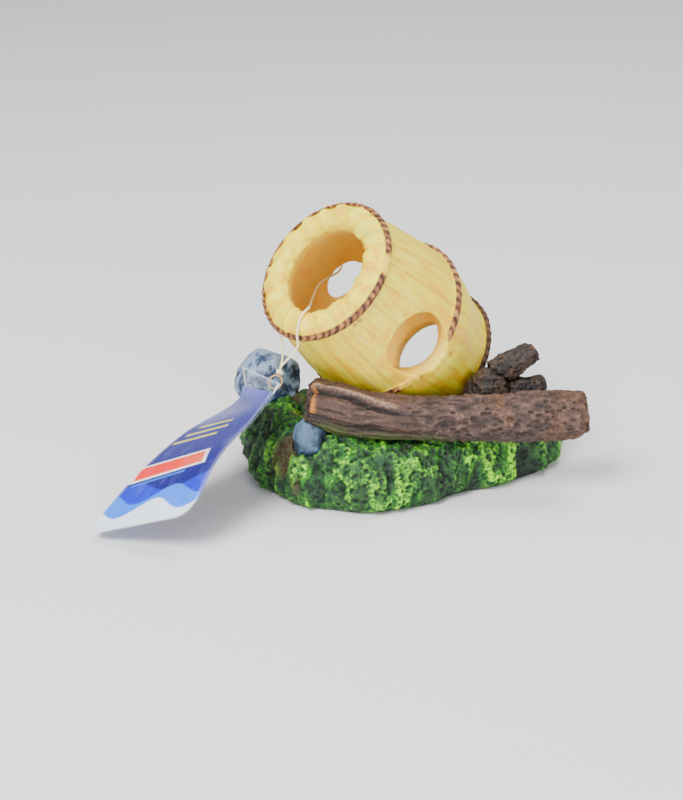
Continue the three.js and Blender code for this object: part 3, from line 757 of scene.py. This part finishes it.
def barrel_shape(points, directions):
    local, turn, radius, depth = in_barrel(points)
    outward = outwardness(directions, turn)
    lip = smooth(-depth, -2.6, -0.6) * smooth(radius, 14.5, 16.5)
    outside = smooth(outward, 0.35, 0.75) * smooth(radius, 22.5, 24)
    plain = outside * (1 - lip)
    fluting = 0.5 - 0.5 * np.cos(STAVES * turn)
    share = turn * STAVES / (2 * math.pi)
    joint = np.abs(share - np.floor(share) - 0.5) * 2 * math.pi * radius / STAVES
    grain = local * (1, 1, 0.08)
    comes = smooth(noise(local * (0.25, 0.25, 0.09), 1, 5), -0.35, 0.15)
    seam = np.exp(-((joint / 0.5) ** 2)) * comes * plain
    lift = 0.16 * fluting * plain - 0.17 * seam
    lift += 0.16 * layered(grain, 2.4, 11) * (0.4 + 0.6 * plain)
    lift += 0.25 * layered(local, 9, 21)
    scallop = 0.5 - np.abs(np.sin(0.5 * STAVES * turn + 1.5 * noise(local, 14, 35)))
    lift += lip * (0.75 * scallop + 0.7 * layered(local, 5.5, 31, 2) + 0.15 * noise(local, 2.2, 37))
    # The staves swell up to each twine, and fill the lip's grooves under the rim twine
    for ring, _ in TWINES.values():
        groove = 0.8 * fluting if ring < RIM_DEPTH else 0.2 * fluting
        lift += outside * (0.3 + groove) * np.exp(-(((depth - ring) / 1.2) ** 2))
    front, back = from_hole(local, FRONT_HOLE), from_hole(local, BACK_HOLE)
    hole = np.minimum(front, back)
    wall = smooth(hole, 15, 12)
    lift += 0.35 * wall * layered(local, 4, 41, 2)
    inside = smooth(outward, 0.3, -0.3) * smooth(depth, 0.5, 6)
    inner = np.maximum(inside, smooth(hole, 13.2, 11.6) * smooth(outward, 0.75, 0.35))
    tint = smooth(layered(local, 5, 51), -0.25, 0.35)
    halos = [np.exp(-(((gap - 13.5) / 2.6) ** 2)) for gap in (front, back)]
    glow = (halos[0] + 0.6 * halos[1]) * tint * outside
    deep = smooth(front, 13, 10.5) * smooth(local[:, 1], -6, 6) * smooth(outward, 0.7, 0.2)
    masks = {
        "lie": local,
        "lip": lip,
        "inner": np.clip(inner, 0, 1),
        "seam": seam,
        "glow": np.clip(0.9 * glow, 0, 0.9),
        "orange": 0.8 * deep * smooth(layered(local, 6, 61), -0.5, 0.2),
        "green": marks(turn, radius, LIP_MARKS) * lip * smooth(noise(local, 1.8, 71), -0.6, 0.1),
        "brown": marks(turn, depth, SPECKS),
    }
    return lift, masks


def twine_shape(depth_of_ring, covered):
    """Strands wound round each other, sunk under the barrel's paint between two turns."""

    def shape(points, directions):
        local, turn, _, depth = in_barrel(points)
        offset = (depth - depth_of_ring) / (TWINE_WIDTH / 2)
        wander = 1.6 * noise(local, 5, 81)
        phase = 2 * math.pi * turn * TWINE_TURN_RADIUS / TWINE_PITCH + 1.9 * offset + wander
        strand = np.abs(np.cos(phase / 2))
        outward = outwardness(directions, turn)
        rough = layered(local, 1.8, 83)
        degrees = np.degrees(turn) + 2 * rough
        cover = np.zeros(len(points))
        if covered:
            start, end = covered
            cover = smooth(degrees, start - 2, start + 2) * smooth(degrees, end + 2, end - 2)
        relief = np.clip(0.15 + 0.6 * strand + 0.45 * rough, 0, 1)
        open_side = smooth(outward, -0.4, 0.4)
        lift = open_side * (0.36 * (strand - 0.8) + 0.3 * rough - 0.3 - 0.5 * cover)
        # The face against the barrel goes deeper, as the staves under it are uneven
        lift += 0.4 * (1 - open_side)
        # Painted shade: the end twine, at the barrel's far end, is darkened all over.
        dark = np.full(len(points), 1.0 if depth_of_ring > END_DEPTH else 0.0)
        masks = {"lie": local, "relief": relief, "cover": cover, "dark": dark}
        return lift, masks

    return shape


# ---------- log, root, stones and moss ----------


def in_log(points):
    """Distance along the log, and the place across it from its centreline."""
    x = points[:, 0]
    across = points[:, 1] - np.interp(x, LOG_X, LOG_Y)
    rise = points[:, 2] - np.interp(x, LOG_X, LOG_Z)
    return x, across, rise


def crumbly(points, seed):
    """Rough bark with short ridges and pores."""
    ridge = ridged(points, 3.2, seed) * 0.6 + ridged(points, 1.5, seed + 5) * 0.4
    pores = smooth(cell_gap(points, 1.9, seed + 9), 0.18, 0.42)
    return ridge * pores


def log_shape(points, directions):
    x, across, rise = in_log(points)
    turn = np.arctan2(rise, -across)
    warp = 1.1 * layered(points, 9, 101, 2)
    fibre_at = np.stack([x / 16, across + warp, rise - warp], axis=1)
    fibres = 0.6 * ridged(fibre_at, 2.3, 111) + 0.4 * ridged(fibre_at, 1.15, 115)
    crumbs = crumbly(points * (0.6, 1, 1), 121)
    coarse = smooth(x + 7 * layered(points, 12, 131, 2), -16, 8)
    bark = fibres * (1 - coarse) + crumbs * coarse
    # A torn strip runs down from the log's left end over a dark gap
    strip_turn = 1.35 - 0.012 * (x + 36) + 0.1 * np.sin(x / 5)
    fade = smooth(x, -37, -33) * smooth(x, 0, -9)
    strip = np.exp(-(((turn - strip_turn) / 0.16) ** 2)) * fade
    gap = np.exp(-(((turn - strip_turn + 0.34) / 0.11) ** 2)) * fade
    left_end = smooth(x, -33.5, -35.5) * smooth(-directions[:, 0], 0.3, 0.8)
    right_end = smooth(x, 54.5, 60.5)
    lift = 1.05 * (bark - 0.55) + 0.7 * layered(points * (0.5, 1, 1), 7, 141, 2)
    lift += 0.9 * strip - 1.3 * gap - 1.6 * right_end**2 * smooth(-directions[:, 0], 0.2, -0.2)
    lift += left_end * (1.3 * layered(points, 3, 151, 2) - 0.3)
    relief = np.clip(0.5 + 0.55 * (bark - 0.5) + 0.35 * strip - 0.8 * gap, 0, 1)
    # Painted shade: relief, and with it the dry-brushed colour, is lowered towards the log's underside.
    relief *= 0.75 + 0.25 * smooth(rise, -7, 3)
    ochre = smooth(layered(points, 9, 161, 2), 0.1, 0.45) * 0.7 + 0.6 * smooth(x, 38, 50)
    ochre *= smooth(layered(points, 5, 165, 2), -0.4, 0.3)
    edge = smooth(x, -33, -35.5) * smooth(np.hypot(across, rise), 5.5, 7.5)
    masks = {
        "lie": np.stack([across, rise, x], axis=1),
        "relief": relief,
        "ochre": np.clip(ochre, 0, 1),
        "orange": edge * smooth(layered(points, 4, 171, 2), -0.35, 0.1) * smooth(-across, -3, 3),
        "green": smooth(rise + 2.5 * layered(points, 6, 175, 2), -3, -6) * smooth(x, 25, -5),
    }
    return lift, masks


def root_shape(points, directions):
    bark = crumbly(points, 201)
    lift = 1.1 * (bark - 0.5) + 0.6 * layered(points, 5, 211, 2)
    masks = {
        "lie": points[:, [1, 2, 0]],
        "relief": np.clip(0.42 + 0.7 * (bark - 0.45), 0, 1),
        "ochre": smooth(layered(points, 4.5, 221, 2), -0.1, 0.35),
        "orange": 0.1 * smooth(layered(points, 3.5, 231, 2), 0.3, 0.6),
        "green": np.zeros(len(points)),
    }
    return lift, masks


def stone_shape(points, directions):
    facets = cell_gap(points, 6.5, 301)
    lift = 0.9 * (facets - 0.5) + 0.45 * layered(points, 2.4, 311)
    masks = {
        "lie": points,
        # Painted light: faces turned upwards get more relief, so the stone is lighter on top, as if lit from
        # above.
        "relief": np.clip(0.5 + 1.1 * lift + 0.3 * directions[:, 2], 0, 1),
    }
    return lift, masks


def moss_shape(points, directions):
    x, y, z = points.T
    from_centre = points[:, :2] - BASE_CENTRE
    outward = (directions[:, :2] * from_centre).sum(axis=1) / np.linalg.norm(from_centre, axis=1)
    open_side = np.maximum(smooth(outward, 0, 0.5), smooth(directions[:, 2], 0.1, 0.5))
    well = np.hypot(x - STONE_AT[0], y - STONE_AT[1])
    seat = np.hypot(x - STONE_AT[0], z - AIR_HEIGHT)
    clear = smooth(well, 5.2, 8) * np.where(y > SEAT_BACK - 4, smooth(seat, 5.4, 7.5), 1)
    share = open_side * clear * smooth(z, 0.2, 3.5)
    skirt = smooth(outward, 0.3, 0.9) * smooth(z, 24, 14)
    # The clumps are drawn out downwards, the more so the more of the base is skirt
    drape = points * (1, 1, 1 - 0.55 * skirt.mean())
    lumps = layered(points, 8, 401, 2)
    clumps = ridged(drape * (1, 1, 0.55), 4.2, 411)
    warped = points + 0.9 * np.stack([noise(points, 3, 415 + k) for k in range(3)], axis=1)
    pits = smooth(cell_gap(warped, 2.1, 421), 0.15, 0.5)
    grains = smooth(cell_gap(warped, 1.1, 431), 0.1, 0.5)
    crest = 0.5 * clumps + 0.5 * grains
    lift = share * (1.3 * lumps + 1.15 * (clumps - 0.45) + 0.9 * (pits - 0.7) + 0.35 * grains)
    folds = ridged(points * (1, 1, 0.22), 10, 471)
    lift += share * skirt * 1.9 * (folds - 0.5)
    relief = np.clip(0.08 + (0.35 + 0.65 * pits) * (0.2 + 0.5 * crest) + 0.3 * (folds - 0.45) * skirt, 0, 1)
    lime = smooth(layered(points * (1, 1, 0.5), 11, 441, 2), -0.35, 0.25)
    lime *= smooth(x, -52, -34) * smooth(y, 18, -12) * 0.75 + 0.25
    brown = smooth(layered(points * (1, 1, 0.6), 8, 451, 2), 0.1, 0.4) * smooth(x, -28, -44)
    # Painted shade: faces turned inwards or downwards get less relief and, through the under mask, a dark
    # grey-green.
    masks = {
        "lie": points,
        "relief": relief * (0.45 + 0.55 * open_side),
        "lime": lime,
        "brown": np.clip(brown + 0.3 * smooth(layered(points, 10, 461), 0.35, 0.5), 0, 1),
        "under": 1 - open_side,
    }
    return lift, masks


def sponge_shape(points, directions):
    """The sintered air stone's open grains."""
    grains = cell_gap(points, 1.1, 501)
    lift = 0.25 * (grains - 0.5)
    return lift, {"lie": points, "relief": np.clip(grains, 0, 1)}


def make_scenery():
    sculpt("barrel_shell", 0.5, 6, barrel_shape, barrel_paint())
    twine = twine_paint()
    for node, (depth, covered) in TWINES.items():
        sculpt(node, 0.28, 2, twine_shape(depth, covered), twine)
    sculpt("front_log", 0.4, 4, log_shape, bark_paint("painted_log", 0.58))
    root = bark_paint("painted_root", 0.36)
    for node in ("root_knot", "upper_stub", "lower_stub", "rear_root"):
        sculpt(node, 0.4, 4, root_shape, root)
    rock = stone_paint("painted_rock", rgb(16, 24, 34), rgb(40, 53, 70), rgb(142, 156, 172))
    sculpt("left_rock", 0.45, 4, stone_shape, rock)
    pebble = stone_paint("painted_pebble", rgb(12, 19, 27), rgb(29, 42, 54), rgb(86, 101, 116))
    sculpt("front_stone", 0.45, 4, stone_shape, pebble)
    sculpt("moss_base", 0.5, 4, moss_shape, moss_paint())


def make_air_fitting():
    grit = stone_paint("sintered_grit", rgb(60, 82, 120), rgb(104, 128, 164), rgb(160, 178, 204), 0.9)
    sculpt("air_stone", 0.3, 1, sponge_shape, grit)
    plastic = moulded_paint("white_plastic", rgb(232, 236, 238), 0.38)
    rubber = moulded_paint("milky_silicone", rgb(206, 214, 214), 0.5, Transmission_Weight=0.3)
    fittings = (
        ("stem_elbow", "air_plastic", plastic),
        ("air_nipple", "air_plastic", plastic),
        ("airline_hose", "silicone", rubber),
        ("nipple_seal", "silicone", rubber),
    )
    for node, slot, material in fittings:
        obj = millimetre_copy(node, f"{node}_smooth")
        store(obj.data, "lie", coordinates(obj.data))
        finish_piece(obj, [node], "root", material)
        obj.data.set_sharp_from_angle(angle=math.radians(35))


# ---------- hang tag ----------


def tag_point(across, up, front):
    """Point of the bent sheet, across and up from 0 to 1, and millimetres in front of it."""
    step = 0.01
    near = min(max(up, step), 1 - step)
    edges = [(spline(TAG_LEFT, u), spline(TAG_RIGHT, u)) for u in (up, near - step, near + step)]
    middle, low, high = [a + (b - a) * across for a, b in edges]
    face = np.cross(edges[0][1] - edges[0][0], high - low)
    return middle + face / np.linalg.norm(face) * front


def tag_sheet(name, top, front, columns, rows, material):
    """A thin bent sheet with rounded lower corners, its place across and up stored for the print."""
    node = name.removesuffix("_sheet")
    points, place, edge = [], [], []
    for side in (front - TAG_THICKNESS / 2, front + TAG_THICKNESS / 2):
        for r, c in itertools.product(range(rows + 1), range(columns + 1)):
            across = c / columns
            corner = max(0, 1 - min(across, 1 - across) / TAG_CORNER)
            low = TAG_CORNER_RISE * (1 - math.sqrt(1 - corner * corner))
            up = low + (top - low) * r / rows
            points.append(tag_point(across, up, side))
            place.append((across, up, 0))
            rimmed = node == "tag_card" or up > TAG_PRINT_SHARE
            edge.append(rimmed and (r in (0, rows) or c in (0, columns)))
    wide = columns + 1
    half = wide * (rows + 1)
    faces = []
    for r, c in itertools.product(range(rows), range(columns)):
        a = r * wide + c
        faces.append((a, a + wide, a + wide + 1, a + 1))
        faces.append((half + a, half + a + 1, half + a + wide + 1, half + a + wide))
    rim = list(range(wide)) + [r * wide + columns for r in range(1, rows + 1)]
    rim += [rows * wide + c for c in range(columns - 1, -1, -1)] + [r * wide for r in range(rows - 1, 0, -1)]
    faces += [(a, b, half + b, half + a) for a, b in zip(rim, rim[1:] + rim[:1])]
    mesh = bpy.data.meshes.new(name)
    mesh.from_pydata([tuple(p) for p in points], [], faces)
    store(mesh, "lie", coordinates(mesh))
    store(mesh, "sheet", np.array(place))
    store(mesh, "edge", np.array(edge, float))
    obj = linked(name, mesh)
    if node == "tag_film":
        punch_eyelet(obj)
    finish_piece(obj, [node], "tag", material)
    mesh.set_sharp_from_angle(angle=math.radians(50))


def punch_eyelet(obj):
    """Cut the round eyelet through the film."""
    at = tag_point(*EYELET, 0)
    axis = Vector(tag_point(*EYELET, 1) - at)
    turn = axis.to_track_quat("Z", "Y").to_matrix().to_4x4()
    sides = 32
    reach = 4
    circle = [
        Vector((EYELET_RADIUS * math.cos(a), EYELET_RADIUS * math.sin(a), z))
        for z in (-reach, reach)
        for a in np.linspace(0, 2 * math.pi, sides, endpoint=False)
    ]
    faces = [(k, (k + 1) % sides, sides + (k + 1) % sides, sides + k) for k in range(sides)]
    faces += [tuple(range(sides))[::-1], tuple(range(sides, 2 * sides))]
    mesh = bpy.data.meshes.new("pin")
    mesh.from_pydata(circle, [], faces)
    mesh.transform(Matrix.Translation(Vector(at)) @ turn)
    pin = linked("pin", mesh)
    cut = obj.modifiers.new("eyelet", "BOOLEAN")
    cut.object = pin
    cut.solver = "EXACT"
    shaped = obj.evaluated_get(bpy.context.evaluated_depsgraph_get())
    punched = bpy.data.meshes.new_from_object(shaped)
    obj.modifiers.clear()
    obj.data = punched
    bpy.data.objects.remove(pin)


def make_tag():
    card_front = TAG_THICKNESS + TAG_GAP
    tag_sheet("tag_card_sheet", TAG_PRINT_SHARE, card_front, 24, 60, card_paint())
    tag_sheet("tag_film_sheet", 1, 0, 24, 70, film_paint())


# ---------- cord ----------


def strands(line, share):
    """Radius of a two-strand twisted cord, ring by ring; share scales the cord's diameter."""
    run = np.concatenate([[0], np.cumsum(np.linalg.norm(np.diff(line, axis=0), axis=1))])

    def radius(k, turns):
        ridge = np.abs(np.cos(turns - 2 * math.pi * run[k] / CORD_PITCH))
        return share * CORD_DIAMETER / 2 * (CORD_CORE + CORD_RIDGE * ridge)

    return radius


def cord_mesh(name, parts):
    """One mesh of twisted tubes; parts are (line, closed, share of the cord's diameter)."""
    all_points, all_faces = [], []
    for line, closed, share in parts:
        points, faces = tube(line, strands(line, share), CORD_SIDES, closed)
        start = sum(len(p) for p in all_points)
        all_points.append(points)
        all_faces += [tuple(start + i for i in face) for face in faces]
    points = np.concatenate(all_points)
    centres = np.repeat(np.concatenate([part[0] for part in parts]), CORD_SIDES, axis=0)
    far = np.linalg.norm(points - centres, axis=1) / (CORD_DIAMETER / 2)
    mesh = bpy.data.meshes.new(name)
    mesh.from_pydata([tuple(p) for p in points], [], all_faces)
    store(mesh, "lie", points)
    store(mesh, "relief", np.clip((far - CORD_CORE) / CORD_RIDGE, 0, 1))
    return linked(name, mesh)


def make_cord():
    material = cord_paint()
    line = np.array([spline(CORD_ROUTE, u) for u in np.linspace(0, 1, CORD_RINGS)])
    eyelet = tag_point(*EYELET, 0)
    up = (KNOT_AT - eyelet) / np.linalg.norm(KNOT_AT - eyelet)
    face = tag_point(*EYELET, 1) - eyelet
    across = np.cross(face, up)
    across /= np.linalg.norm(across)
    ahead = np.cross(up, across)
    turns = np.linspace(0, 2 * math.pi, 96, endpoint=False)[:, None]
    middle = eyelet + up * LOOP_RADIUS
    loop = middle + LOOP_RADIUS * (np.cos(turns) * up + np.sin(turns) * ahead)
    trefoil = KNOT_SIZE * (
        (np.sin(turns) + 2 * np.sin(2 * turns)) * across
        + (np.cos(turns) - 2 * np.cos(2 * turns)) * ahead
        - np.sin(3 * turns) * up
    )
    knot = cord_mesh("cord_knot_tied", [(KNOT_AT + trefoil, True, 1), (loop, True, LOOP_SHARE)])
    finish_piece(knot, ["cord_knot"], "root", material)
    cord = cord_mesh("tag_cord_twisted", [(line, False, 1)])
    finish_piece(cord, ["tag_cord"], "root", material)


def make_floor():
    mesh = bpy.data.meshes.new("floor")
    half = 1.6
    corners = [(-half, -half, 0), (half, -half, 0), (half, half, 0), (-half, half, 0)]
    mesh.from_pydata(corners, [], [(0, 1, 2, 3)])
    floor = linked("floor", mesh)
    floor.location.z = -0.0002
    p = Paint("pale_floor")
    p.set(Base_Color=rgb(226, 226, 226), Roughness=0.8)
    mesh.materials.append(p.material)


make_camera()
make_cord()
make_floor()
make_studio()
make_tag()
make_scenery()
make_air_fitting()
